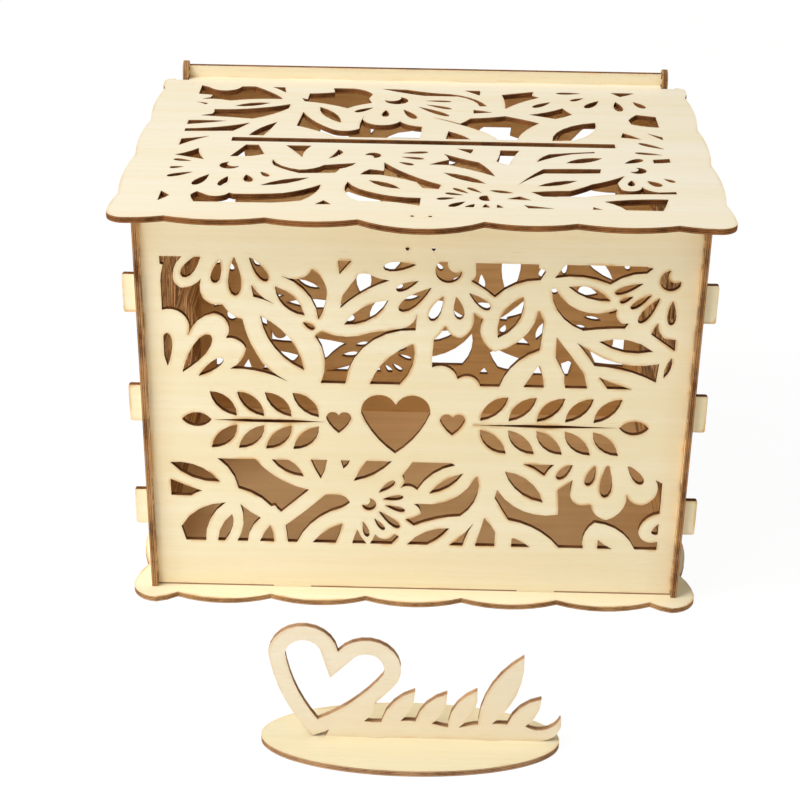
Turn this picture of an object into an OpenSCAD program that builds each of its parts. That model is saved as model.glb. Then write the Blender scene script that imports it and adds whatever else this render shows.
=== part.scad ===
// Wedding card box: a flat-pack plywood box with a hinged, pierced lid,
// four floral lattice panels locked by tabs and slots, and a small
// free-standing table sign.
//
// Frame: origin at the centre of the box's underside, +Z up, -Y to the
// front (the side with the ornament band), +X to the right. Millimetres.

/* [Box] */
// clear width between the two side panels
inner_w = 274; // [220:1:340]
// clear depth between the front and the back panel
inner_d = 201.4; // [160:0.2:260]
// height of the front, back and side panels above the bottom panel
wall_h = 214.5; // [185:0.5:280]
// plywood thickness
ply = 3; // [2.6:0.1:3.6]
// how far the side panels stand past the front and back panels
lip = 3; // [2:0.5:6]
// clearance between a tab and its slot
fit = 0.1; // [0.05:0.05:0.2]

/* [Tabs] */
// length of the through tabs up the sides of the front and back panels
tab_h = 20.4; // [14:0.2:24]
// height of the lowest side tab's middle above the bottom panel
tab_low = 48; // [30:1:56]
// distance of the highest side tab's middle below the panel's top edge
tab_top = 44.6; // [36:0.2:56]
// how far the side tabs stand out past the side panels
tab_proud = 6.6; // [4:0.2:9]
// corner radius of the side tabs
tab_round = 1.2; // [0.5:0.1:2]
// length of the feet that key into the bottom panel
foot_w = 20; // [12:1:26]
// distance of the front and back panels' feet from the middle
foot_x = 65; // [50:1:80]
// distance of the side panels' feet from the middle
foot_y = 56; // [40:1:62]

/* [Lattice] */
// plain border left and right of the pierced windows
border = 9.5; // [8:0.5:20]
// plain border above the upper front window
top_border = 24.5; // [22:0.5:34]
// plain border below the lower front window
low_border = 28; // [20:1:36]
// plain band between the two front windows
band_h = 44.5; // [40:0.5:50]
// height of the hearts pierced in that band
heart_h = 35; // [24:1:36]
// plain border front and rear of the side panels' windows
side_border = 14; // [10:0.5:24]

/* [Bottom panel] */
// how far the bottom panel's cusps lie outside the side panels' outline
base_rim = 4.6; // [3:0.2:8]
// swell of each scallop on the bottom panel
base_bulge = 5.4; // [2:0.2:7]

/* [Lid] */
// how far the lid's side cusps lie outside the side panels
lid_rim = 8; // [5:0.5:12]
// how far the lid's front cusps lie outside the front panel
lid_front = 16.6; // [12:0.2:24]
// swell of each scallop along the lid's front
lid_bulge = 4; // [2:0.2:6]
// swell of the middle scallop, which is the finger grip
grip_bulge = 10.5; // [6:0.5:14]
// air left between the lid and the panels it closes on
lid_gap = 0.3; // [0.2:0.1:0.6]
// distance from each end of the card slot to the side panel
slot_inset = 36; // [24:1:60]
// width of the card slot
slot_w = 6.2; // [5:0.1:7]

/* [Hinge] */
// height of the hinge rail above the lid
rail_h = 6.8; // [6:0.2:9]
// side clearance between the rail and each side panel
rail_gap = 0.6; // [0.4:0.1:1.2]
// radius of the round ears on the side panels
ear_r = 6.5; // [6:0.1:7.5]
// height of the hinge axis above the lid's top face
axis_up = 2.5; // [2.2:0.1:3]
// height of the square pivots at the rail's ends
pivot = 3; // [2.6:0.1:3.2]
// clearance between a pivot's corners and its hole
pivot_play = 0.08; // [0.05:0.01:0.1]
// air round each ear in the lid's notch
notch_gap = 1; // [0.6:0.1:1.6]

/* [Latch holes] */
// spacing of the two latch holes in the front panel
catch_pitch = 12.8; // [10:0.2:16]
// spacing of the two latch holes in the lid
hasp_pitch = 8.6; // [8:0.2:12]
// radius of the latch holes
latch_r = 0.9; // [0.7:0.1:1.2]

/* [Sign] */
// length of the sign's oval foot
sign_w = 141; // [126:1:170]
// width of the sign's oval foot
sign_d = 52; // [44:1:64]
// distance of the sign in front of the box's middle
sign_y = 230; // [215:1:300]
// height of the vine's tallest loop above the foot
sign_h = 64.4; // [52:0.4:80]

/* [Hidden] */
cut = 1;
kerf = 0.05;
turn = 360;
outer_w = inner_w + 2 * ply;
front_y = -(inner_d / 2 + ply);
back_y = inner_d / 2 + ply;
side_y = back_y + lip;
wall_z = ply + wall_h;
lid_z = wall_z + lid_gap;
lid_top = lid_z + ply;
axis_z = lid_top + axis_up;
axis_y = side_y - ear_r;
hole_r = sqrt(pivot * pivot + ply * ply) / 2 + pivot_play;
rail_w = inner_w - 2 * rail_gap;
rail_y = axis_y - ply / 2;
// comb joint between the rail and the lid's rear edge
rail_tabs = [-3, -1, 1, 3];
rail_tab = 22;
rail_pitch = rail_w / 9;
rail_sink = ply - 0.4;
// side tabs: three a side, evenly spread
tab_pitch = (wall_h - tab_low - tab_top) / 2;
// windows of the front panel
win_w = inner_w - 2 * border;
lattice_h = wall_h - top_border - low_border - band_h;
low_h = lattice_h * 0.4255;
up_h = lattice_h - low_h;
band_z = low_border + low_h + band_h / 2;
// sizes that the lattice drawings are made for
nom_w = 255;
nom_low = 50;
nom_up = 67.5;
nom_lid = 185;
nom_rear = 162;
// window of the lid, with the card slot along its middle
lid_win_front = front_y + 2.2;
lid_win_back = inner_d / 2 - 17.2;
lid_win = lid_win_back - lid_win_front;
lid_mid = (lid_win_back + lid_win_front) / 2;
slot_l = inner_w - 2 * slot_inset;
// window of the back panel, as high as both front windows and the band
rear_h = wall_h - top_border - low_border;
// windows of the side panels
side_win = inner_d - 2 * side_border;
// sign
sign_nom_w = 141;
sign_nom_h = 64.4;
sign_tabs = [-16.5, 38.2];
sign_tab = 7.8;
drop_n = 14;

// ---------------------------------------------------------------
// curves: an outline is a list of [x, y, h]; h is how far the edge
// to the next corner swells outwards (counter-clockwise outlines)
// ---------------------------------------------------------------

function bow(p, q, h) =
    let (d = [q.x - p.x, q.y - p.y], l = norm(d))
    (abs(h) < 0.05 || l < 1) ? [[p.x, p.y]] :
    let (r = (l * l / 4 + h * h) / (2 * h),
        m = [(p.x + q.x) / 2, (p.y + q.y) / 2],
        n = [d.y / l, -d.x / l],
        c = m - (r - h) * n,
        a0 = atan2(p.y - c.y, p.x - c.x),
        half = asin(min(1, l / 2 / abs(r))),
        swing = (abs(h) > l / 2 ? turn - 2 * half : 2 * half),
        s = h > 0 ? swing : -swing,
        k = ceil(max(2, abs(s) / 16, min(l / 7, abs(s) / 4))))
    [for (i = [0 : k - 1])
        c + abs(r) * [cos(a0 + s * i / k), sin(a0 + s * i / k)]];

function outline(v) =
    [for (i = [0 : len(v) - 1])
        each bow(v[i], v[(i + 1) % len(v)], v[i].z)];

// opening bounded by straight and swelling edges
module gap(v) polygon(outline(v));

// teardrop from its sharp tip to its round end
module drop(tip, end, w) {
    d = end - tip;
    l = norm(d);
    u = d / l;
    n = [-u.y, u.x];
    polygon([for (i = [0 : drop_n - 1])
        let (t = turn * i / drop_n,
            x = l * (1 - cos(t)) / 2,
            y = 0.65 * w * sin(t) * sin(t / 2))
        tip + x * u + y * n]);
}

// leaf slit between two points: hl swells left of p to q, hr right
module leaf(p, q, hl, hr)
    polygon(outline([[p.x, p.y, hr], [q.x, q.y, hl]]));

// crescent: a disc bitten by a second disc
module crescent(c, r, bite, bite_r) {
    difference() {
        translate(c) circle(r, $fn = 24);
        translate(bite) circle(bite_r, $fn = 20);
    }
}

// ---------------------------------------------------------------
// the lattice drawings, in millimetres of the nominal window
// ---------------------------------------------------------------

// upper window: x -127.5 to 127.5, y 0 to 67.5 (drawn from y = 122.5)
module pattern_upper() {
    translate([0, -122.5]) {
        // lower left flower and the space round its petals
        drop([-126, 130.5], [-125.6, 148.6], 5);
        drop([-118.7, 127], [-104, 148], 7.6);
        drop([-110.7, 125], [-98, 135], 4.4);
        gap([[-127.6, 190, 0], [-127.6, 186, 0], [-126, 185.5, 0.3],
            [-127.6, 176, 0], [-127.6, 161.2, -6], [-115, 148, -2.4],
            [-102, 160, -4.3], [-96.2, 146.5, -2], [-86.3, 141, -1.8],
            [-94.5, 129.5, -2], [-66.3, 123.2, -0.5], [-78, 132.5, -1.4],
            [-87.8, 157.2, 0], [-91, 157.8, -0.6], [-97.5, 164.8, -1.8],
            [-107.3, 168.5, -0.9], [-107.6, 178.2, -1.2],
            [-117.5, 173.3, -1.2], [-121.5, 179.5, -1.2],
            [-116.8, 190, 0]]);
        // upper left flower
        drop([-107, 192], [-116.8, 179.3], 5.8);
        drop([-98, 188.5], [-101.3, 176.3], 4.8);
        drop([-91, 190.5], [-91, 169.6], 6.4);
        drop([-83.8, 190.8], [-75, 177.8], 5);
        gap([[-82.8, 175.3, 0], [-82, 169.3, -0.3], [-72.5, 166, -1]]);
        // leaves running to the middle
        leaf([-71.2, 175], [-56.8, 159.8], 3, 4);
        gap([[-67.5, 180.4, -4.2], [-49.9, 157.8, 0.9],
            [-45.6, 172, 1.9], [-53, 184.7, -1.5], [-61, 179.2, -0.3]]);
        drop([-57.6, 155.9], [-52, 152.4], 2.8);
        leaf([-78.8, 158.8], [-57.4, 129.6], 4.6, 4.7);
        gap([[-49, 122.4, 0], [-36.7, 122.4, -9.5], [-1.7, 152.8, 0],
            [-1.2, 161.2, -1.6], [-8.5, 153.6, 0], [-24, 151, -2.6],
            [-48.5, 151.2, 0], [-51.7, 148.6, -3.5]]);
        gap([[-24.3, 122.4, 0], [-9.3, 122.4, 1.8], [-2, 140, 0.2],
            [-2.8, 145.2, 3.5]]);
        gap([[-40, 189.4, 0], [-39.4, 182.3, 0], [-33.7, 189.4, 0]]);
        gap([[-39, 164.2, -1.6], [-15, 179.4, -0.6],
            [-25.5, 182.7, 0.2], [-29.8, 182.7, 0], [-38, 171, 0.2]]);
        leaf([-37.2, 155.2], [-15.3, 168.7], 3.3, 4.2);
        // middle flower: six teardrops round a crescent
        drop([-2, 188], [-18, 186.3], 5);
        drop([-0.7, 179.4], [-11.5, 174.3], 3.8);
        drop([5.7, 175.9], [-10, 163.4], 6.4);
        drop([11.6, 171.5], [5.8, 158.2], 5.4);
        drop([18.1, 171.5], [20.4, 159.2], 5.2);
        drop([24.4, 173.5], [34.8, 165], 4.6);
        crescent([14, 185.3], 6.5, [18, 189], 4.7);
        // space right of the middle flower
        gap([[27, 189.6, 0], [27.5, 184, -0.5], [25.2, 180, -0.4],
            [37, 171.7, -2.6], [59, 181.3, 0], [61.5, 185.8, 0.3],
            [57.8, 187.5, 0], [57.8, 189.6, 0]]);
        leaf([39.3, 149.6], [51, 172.2], 4.6, 4.6);
        gap([[7.6, 147.6, 0.3], [7, 132.6, -3.6], [20, 126.3, -3.6],
            [31.5, 122.4, 0], [41, 122.4, -3.4], [60.3, 143.2, 0.2],
            [61.7, 159.3, 0], [59, 164.8, -4.8], [38, 141.8, -3.8],
            [31.5, 159.8, 0], [30, 160.3, 0], [26.9, 163, -2.6],
            [21.2, 149.1, -1], [14.6, 152.4, 0], [13.1, 155.4, -0.4]]);
        gap([[53.2, 122.4, 0], [63.4, 122.4, 0.3], [61.8, 131.5, 0.4],
            [60.3, 134.8, 0]]);
        gap([[68.5, 150.6, 0], [68.7, 139.5, 0], [73.6, 129.5, 0.4],
            [74.3, 122.4, 0], [85.3, 122.4, 0], [83, 130.8, 0.3]]);
        gap([[79, 147.6, -0.4], [88.2, 135.2, -1.9], [119.5, 126.7, 0],
            [120.4, 137, -3.7], [86, 143, 0.2]]);
        gap([[91, 128.7, -0.2], [95.6, 122.4, 0], [107.8, 122.4, -0.3]]);
        leaf([89.8, 148.6], [116.8, 143.8], 3.7, 3.1);
        // leaf pair under the right flower
        gap([[64.7, 176.5, 4.3], [81.5, 154.5, -0.4], [102, 156.2, 0],
            [103.6, 158.9, 0], [100.5, 158.8, -1.5], [97.3, 166.3, 0],
            [94, 165, -5.6], [66.5, 177, 0]]);
        leaf([73, 178], [93.8, 170.9], 3.2, 2.4);
        gap([[66, 182.6, -2.2], [93.3, 179.8, -1.6], [110.8, 186, 0],
            [113.6, 188.6, 0], [110, 189.6, 0], [71, 189.6, 0.2]]);
        // right flower
        drop([109.3, 180.5], [95.8, 175], 3.8);
        drop([104.8, 173.4], [98.6, 170.2], 2.6);
        drop([113.8, 174.4], [104, 167], 3.4);
        drop([118, 172.8], [108.6, 159.3], 4.8);
        drop([124.5, 171.4], [124.6, 158.4], 4.4);
        crescent([122.8, 182.3], 5.4, [125.2, 185], 3.9);
        gap([[118.2, 159.4, 0.3], [115.2, 153.3, 0], [127.6, 144.4, 0],
            [127.6, 150.4, 0], [121.8, 151, 0], [119.2, 154.5, -0.3]]);
        leaf([123.2, 129.3], [126.4, 140.3], 1.2, 1.6);
    }
}

// lower window: x -127.5 to 127.5, y 0 to 50 (drawn from y = 28)
module pattern_lower() {
    translate([0, -28]) {
        // left leaf fan
        leaf([-127.3, 74.8], [-102, 63.8], 4, 3.5);
        gap([[-127.6, 64.8, 0], [-127.6, 55.2, 0], [-117.3, 55, -0.3],
            [-111.6, 58.1, -0.3]]);
        gap([[-99.3, 51.2, 3.9], [-123, 36.3, 0], [-120.8, 28, 0],
            [-110.3, 28, -3.3]]);
        gap([[-104, 28, 0], [-100.4, 28, 0.6], [-95.9, 37.5, 0.5],
            [-96.2, 44.2, 1.9]]);
        gap([[-91.5, 50.3, -2.4], [-93.7, 28, 0], [-88.3, 28, -1.6],
            [-81.2, 42.4, -0.4]]);
        gap([[-81.8, 28, 0], [-74.3, 28, 0.5], [-76.2, 38, 0.5]]);
        gap([[-102.6, 77.6, -2], [-92.2, 60, -1.6], [-75.5, 49.6, 0],
            [-73.4, 50.1, 0.3], [-70.3, 46.3, 0], [-55.6, 60, -3],
            [-83.2, 77.6, 0]]);
        gap([[-74.6, 77.6, 2.4], [-58.2, 68, 1.2], [-66, 77.6, 0]]);
        gap([[-54.5, 78, 0.3], [-49.4, 66.9, 0.6], [-46.1, 78, 0]]);
        gap([[-39, 78, 0], [-37.6, 73.2, 0.5], [-34.3, 78, 0]]);
        gap([[-25.8, 78, 0.3], [-32.2, 66, 2], [-12.6, 78, 0]]);
        // small middle flower
        drop([-19.2, 59.2], [-11, 66.3], 3.4);
        drop([-16.9, 55.3], [-6.4, 56.9], 3.2);
        drop([-15.7, 51.5], [-5.4, 48.5], 3);
        drop([-19, 47.8], [-8.2, 38.1], 4);
        drop([-21.4, 43.4], [-16.1, 36.6], 2.8);
        drop([-27.3, 41.5], [-24.8, 32.1], 3.2);
        crescent([-24.2, 52], 3.6, [-26.6, 54.3], 2.9);
        gap([[-23.5, 28, 0], [-12.2, 28, 0], [-8.6, 32.4, 0.6],
            [-11.2, 33.8, -2.9], [-20.8, 33.8, 0]]);
        gap([[-33, 28, 0], [-25.5, 28, -0.5], [-30.3, 36.5, 0.2]]);
        gap([[-68, 38.3, 0], [-66.9, 28, 0], [-62.2, 28, -3.6],
            [-38.5, 49.6, 0.2], [-34.3, 52.8, 1.4], [-41, 57.5, 0.2],
            [-47, 57.3, -0.4]]);
        gap([[-53.9, 28, 0], [-41.8, 28, 0.5], [-38.3, 40, 1.6]]);
        // leaves between the flowers
        gap([[-7.8, 62.4, -1.7], [0.7, 61.2, -2.8], [20, 76.4, 0],
            [18, 77.8, 0], [-2, 77.8, 0], [-7, 69.8, 0],
            [-5.9, 66.8, -0.4]]);
        leaf([7, 59.3], [24.4, 71.6], 2.2, 2.5);
        gap([[-0.8, 52.7, -1], [2.9, 46.8, -0.6], [-5, 43.3, 0],
            [-0.7, 39.6, -1.3], [23.5, 46, 3.9], [31.8, 70.3, 0],
            [30.5, 69, -5.6], [2, 53, 0]]);
        gap([[-4, 28, 0], [6.5, 28, 0.9], [18, 38.4, 3.2]]);
        gap([[18.3, 28, 0], [25.2, 28, -0.6], [30.3, 41.2, -0.5]]);
        gap([[31.8, 28, 0], [42, 28, 0], [42.1, 36.8, 0.4],
            [36.2, 45.2, 0]]);
        gap([[51, 28, 0], [60.6, 28, 0.4], [52.3, 33.3, 0],
            [51, 33, 0]]);
        leaf([45.9, 73.5], [66.2, 55.4], 4.4, 4);
        gap([[55.4, 78, -0.6], [66.3, 71.4, -0.4], [71, 78, 0]]);
        // right flower hanging from the top edge
        drop([80.8, 79.3], [73, 69.6], 5);
        drop([92.2, 78], [88.6, 66], 4.8);
        drop([98.8, 79.8], [98.2, 59], 6.4);
        drop([108.8, 78.8], [117.2, 67.6], 5);
        gap([[42.4, 62.3, 0.2], [41.2, 57.4, 0], [48.8, 44.3, -3],
            [76, 28, 0], [88.8, 28, -2.6], [94, 43.9, -3.9],
            [116, 28, 0], [127.6, 28, 0], [127.6, 33, -3.2],
            [117.2, 39, -2.7], [127.6, 50.2, 0], [127.6, 68.3, 0],
            [124, 70.2, -4], [118, 55, -1.9], [109.6, 61.2, -3.3],
            [100, 45.6, -2.1], [91.3, 54.7, 0], [86.5, 54, -2.1],
            [80.2, 62, 0], [81, 69.2, 0], [73.6, 63, -0.3],
            [74.6, 48.2, -5.8]]);
        gap([[96.4, 33.4, 0], [96.4, 28, 0], [103.9, 28, -0.3]]);
        gap([[124, 38.6, 0.8], [127.6, 37.6, 0], [127.6, 43.8, 0.6]]);
    }
}

// lid, rear of the slot: x -127.5 to 127.5, y 6.5 to 91 (card slot at 0)
module pattern_lid_rear() {
    gap([[-127.5, 92, 0], [-127.5, 76, 0], [-119.5, 74.6, 0],
        [-120, 70.2, 0], [-124.6, 67, -1.4], [-108.6, 64.8, -1.6],
        [-79.6, 69.2, 0.3], [-83, 76, 0.6], [-96.6, 91.4, 0.2],
        [-104.5, 91, -5.4], [-120.6, 86, 0.5]]);
    gap([[-86.6, 90.9, -0.3], [-78.6, 81.4, 0], [-79.8, 90.9, 0]]);
    gap([[-127.4, 61.6, -0.5], [-121.4, 57, 0], [-120.4, 59.5, 0.3]]);
    leaf([-105, 55.4], [-85.8, 62], 2.6, 2.6);
    gap([[-121.8, 38, -0.3], [-93.2, 34, 1.6], [-75, 53, 0.2],
        [-74.6, 60.3, -3], [-115.7, 49, -0.6], [-116, 41.2, 0]]);
    gap([[-127.5, 29.5, 0], [-127.5, 22.8, 0.4], [-107, 29.3, 0.6]]);
    gap([[-127.5, 15.6, 0], [-127.5, 11.3, 0], [-101.8, 13, 0.3],
        [-94, 27, -2.2]]);
    gap([[-92.6, 6.6, 0], [-85, 6.6, 0.4], [-79.4, 29, 1.8]]);
    gap([[-127.5, -1, 0], [-127.5, -11, -0.6], [-113.4, 4, -0.4]]);
    gap([[-51.8, 91, 0], [-50.8, 83.5, -0.5], [-65, 80.3, 0],
        [-65.4, 70, -0.2], [-68.8, 71.6, 0], [-66.8, 66, -1.6],
        [-42.5, 55, -1], [-29.3, 65.3, 0], [-31.2, 73, 0],
        [-29.2, 81, 1.8], [-40, 91, 0]]);
    crescent([-15.5, 70.5], 6.5, [-18.6, 75], 5.6);
    leaf([-57.6, 56.3], [-45, 30.2], 3.4, 3.6);
    drop([-28.2, 57.2], [-38, 48.6], 4);
    drop([-21, 53], [-21.2, 41.4], 4);
    drop([-11.2, 54.6], [-4.6, 39], 4.6);
    drop([1, 71], [15.4, 70.5], 2.8);
    drop([1, 64.2], [15.4, 57], 3.4);
    drop([-3.2, 60], [13.8, 44.5], 4.6);
    drop([89, 89.6], [75, 89], 3.6);
    drop([89.9, 81.2], [82.4, 75.6], 3.4);
    drop([98, 76.6], [90, 63.4], 5);
    drop([107.6, 75.4], [108.8, 58.5], 5);
    drop([117.6, 76], [123, 64.8], 4.5);
    drop([70.8, 72.7], [60.6, 62.6], 4.5);
    drop([126.4, -3.2], [113.8, 5.6], 3.6);
    drop([124.4, -12.4], [110.4, -9.8], 3.2);
    gap([[-66.4, 46.8, 0], [-68.4, 23.6, -1.2], [-47, 6.6, 0],
        [-2, 6.6, 0.3], [-1, 25.7, -2], [-12.9, 34.2, -10.5],
        [-32.8, 41.2, 0.6], [-34.5, 20.7, -3.8], [-50, 20, -1.8]]);
    gap([[-24, 91.3, 0.8], [0, 80, 0], [19, 80, -2.8], [31, 63, 0],
        [34.9, 63.5, 3.6], [15, 84, -1], [-10, 90.6, 0]]);
    gap([[23.2, 91, 0], [31.2, 82.6, 0.3], [31.6, 91, 0]]);
    gap([[44, 84.4, -0.6], [45.2, 59.6, -1.3], [64.7, 80.6, 0],
        [61, 84, 0], [61.9, 91, 0]]);
    gap([[27.4, 56.4, 0], [27.4, 50.2, 0], [37.6, 52.4, 0.5]]);
    gap([[44.7, 46.5, -0.6], [25.6, 41.4, -0.3], [19.7, 32, 0.3],
        [6.3, 41.2, -0.8], [32, 19.4, -0.9], [39.6, 6.6, 0],
        [49.6, 6.6, -2], [62.7, 35.3, 0.5]]);
    gap([[13.4, 19.2, 0], [12, 6.6, 0], [24.9, 6.6, 1]]);
    gap([[93.3, 38, 7], [68.4, 6.6, 0], [80, 8, 4.2]]);
    gap([[106.3, 91.8, 0], [111, 84.8, 0.4], [119.5, 91.8, 0]]);
    gap([[77, 62.2, -1.3], [57.9, 49.8, 0], [72, 43.3, 0.6],
        [81.6, 51.2, -0.3]]);
    gap([[117.2, 53, 0.4], [112, 43.5, 0], [113, 36.6, 1],
        [127.5, 32, 0], [127.5, 50, 0]]);
    gap([[107, 21.8, 0], [105.4, 14.3, 0], [115.8, 11.8, 0.4]]);
    gap([[120, 21.8, 0.2], [127.5, 11.4, 0], [127.5, 16, 0]]);
}

// lid, front of the slot: y -94 to -8.5
module pattern_lid_front() {
    gap([[-92.6, -8.5, 0], [-99.2, -27, 0], [-88, -26, 0.3],
        [-82, -22.5, 0], [-86, -8.5, 0]]);
    gap([[-127.5, -26, 0], [-112, -32.2, -1], [-116.6, -15.3, -0.8]]);
    gap([[-71.6, -8.5, -0.4], [-62, -26.6, -1.2], [-58.4, -8.5, 0]]);
    gap([[-48.2, -27.4, 1], [-41.3, -18, 0.5], [-44, -13.4, -0.4]]);
    crescent([-25.6, -21.4], 4, [-28.4, -24.4], 3.4);
    drop([-10.2, -17], [2.8, -15], 3.2);
    drop([-10.8, -23.2], [0.6, -25.4], 3);
    drop([-12.2, -31], [-4.6, -34.8], 3.2);
    gap([[17.8, -8.7, 0], [24.8, -15.6, 0.3], [26.2, -9.2, 0]]);
    gap([[40.4, -10, -0.4], [37.9, -27, 0.3], [44, -32.2, -0.5],
        [50.2, -10, 0]]);
    leaf([73.6, -27.4], [92.7, -19.3], 3.2, 3);
    gap([[58.7, -26.6, -1], [77.5, -13.8, -0.3], [89.4, -11.4, 0],
        [89.4, -9.6, 0.3], [65.6, -14.5, 1]]);
    drop([103.6, -26.6], [113.4, -19.8], 5);
    gap([[118.8, -20, 0], [118.8, -25.2, 0.3], [127.5, -23.5, 0],
        [127.5, -18, 0]]);
    translate([0, 7.5]) {
        // left flower
        crescent([-98, -48], 5, [-95.4, -45.6], 4);
        drop([-118, -42.8], [-127.4, -40.4], 3.2);
        drop([-121, -51.3], [-128.2, -53], 3);
        drop([-115.5, -58.7], [-127.8, -65.4], 4);
        drop([-106.8, -61.6], [-113, -77], 5);
        drop([-97.2, -64], [-99.8, -77.6], 4.2);
        drop([-88.2, -61], [-85.8, -71.6], 4.6);
        drop([-81.4, -56.6], [-77, -63.4], 3.2);
        leaf([-79.8, -75.8], [-56.6, -63.8], 2.8, 2.8);
        gap([[-110, -85.8, 0.2], [-112.6, -90.5, 0.4], [-110, -99.6, 0],
            [-72, -99.2, 0.3], [-58.5, -95.6, 2.2], [-50.2, -73.4, -1.2],
            [-68, -86, -0.8], [-92, -88.2, 0], [-94.2, -86.8, -2.9],
            [-104.6, -90.6, 0]]);
        gap([[-127.5, -86, 0], [-127.5, -99, 0.3], [-122.8, -91.7, 0]]);
        gap([[-51.2, -100, 0], [-43.8, -100, 0.2], [-47.5, -94.8, 0]]);
        gap([[-37, -68.6, 2.3], [-34.5, -90.8, 0], [-31, -94.4, 0],
            [-16, -94.8, -0.5], [-1, -99.5, 0], [-0.5, -88.9, -2.3],
            [-27, -81.2, -1.4]]);
        leaf([-26.6, -65.8], [-10.8, -76.8], 2.6, 2.6);
        gap([[-76.8, -38.2, 0.5], [-75.6, -46.5, 0.8],
            [-62, -57.5, 0], [-44, -56, 0.3], [-42, -50.2, 1.2],
            [-34, -41, 0], [-50, -44.8, -1.7], [-62, -52.5, -2.8]]);
        gap([[-19.6, -39.3, -0.2], [-19.5, -52, 0.2],
            [-26.7, -49.8, 0.4], [-31.3, -57.6, 0],
            [-21, -57.6, -0.6], [-2.7, -67.2, 0], [0.3, -75, 0],
            [8.2, -76.2, 0], [9.4, -70.4, -2.2]]);
        gap([[11, -24.6, -0.4], [13.6, -33.5, 0.3], [3.6, -41, 0],
            [13.6, -41.2, -0.6], [36.5, -56.6, 0.8],
            [28.8, -36.5, -0.6]]);
        leaf([10.8, -52.8], [31.6, -67.4], 3.2, 3);
        // small front flower
        gap([[33, -91, 0], [32, -84, 4.6]]);
        drop([22.9, -81.5], [15.4, -74.6], 2.8);
        drop([29.2, -80.3], [22.5, -73.4], 2.8);
        drop([20.4, -84.1], [11.4, -81.6], 2.8);
        drop([16.4, -88], [7.2, -89.9], 3.2);
        drop([21.2, -92.6], [13.2, -100], 4);
        drop([25.6, -95.6], [21.2, -103], 4);
        drop([31, -95.6], [31.2, -103], 3.6);
        drop([36.8, -96], [38.6, -103], 3);
        leaf([33.2, -76.8], [44.8, -79.8], 1.6, 1.6);
        gap([[41.8, -88, 0], [53.2, -89.2, 0], [48, -84.3, 0]]);
        gap([[49.5, -96, 0], [52, -101, 0], [66.5, -101, 0.4]]);
        // leaves and flower at the right
        leaf([57.5, -69.5], [77.5, -60.8], 2.6, 2.6);
        gap([[54, -78, 0], [59.3, -83.8, 0.2], [80, -83.5, -0.6],
            [95, -79, -0.2], [125.4, -77.1, 0], [125.4, -73.9, 0],
            [117, -75, -1.5], [109.2, -67.8, -3.8], [98.8, -72.4, -0.3],
            [97.6, -63, 0], [101.8, -52.7, -0.8], [84.7, -65.3, -0.4],
            [73.3, -75.3, 0.5]]);
        gap([[89, -89.3, -1.3], [99, -101, 0], [116, -101, 0.2],
            [120.5, -84.6, 1.4]]);
        gap([[83, -96.8, 0], [82.4, -101, 0], [88.2, -101, 0]]);
        drop([104.9, -59], [103.9, -67], 3.6);
        drop([112.8, -59], [118.9, -66.6], 5);
        drop([121.4, -55.4], [126.4, -60.4], 3);
        crescent([109.4, -44.4], 4.4, [106.4, -42.6], 3.6);
        gap([[90.8, -43.2, 0.3], [61.4, -44.7, 0.6], [48.2, -67.4, -0.6],
            [61.4, -51, 0.4], [89.8, -49.2, 0]]);
    }
}

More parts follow.
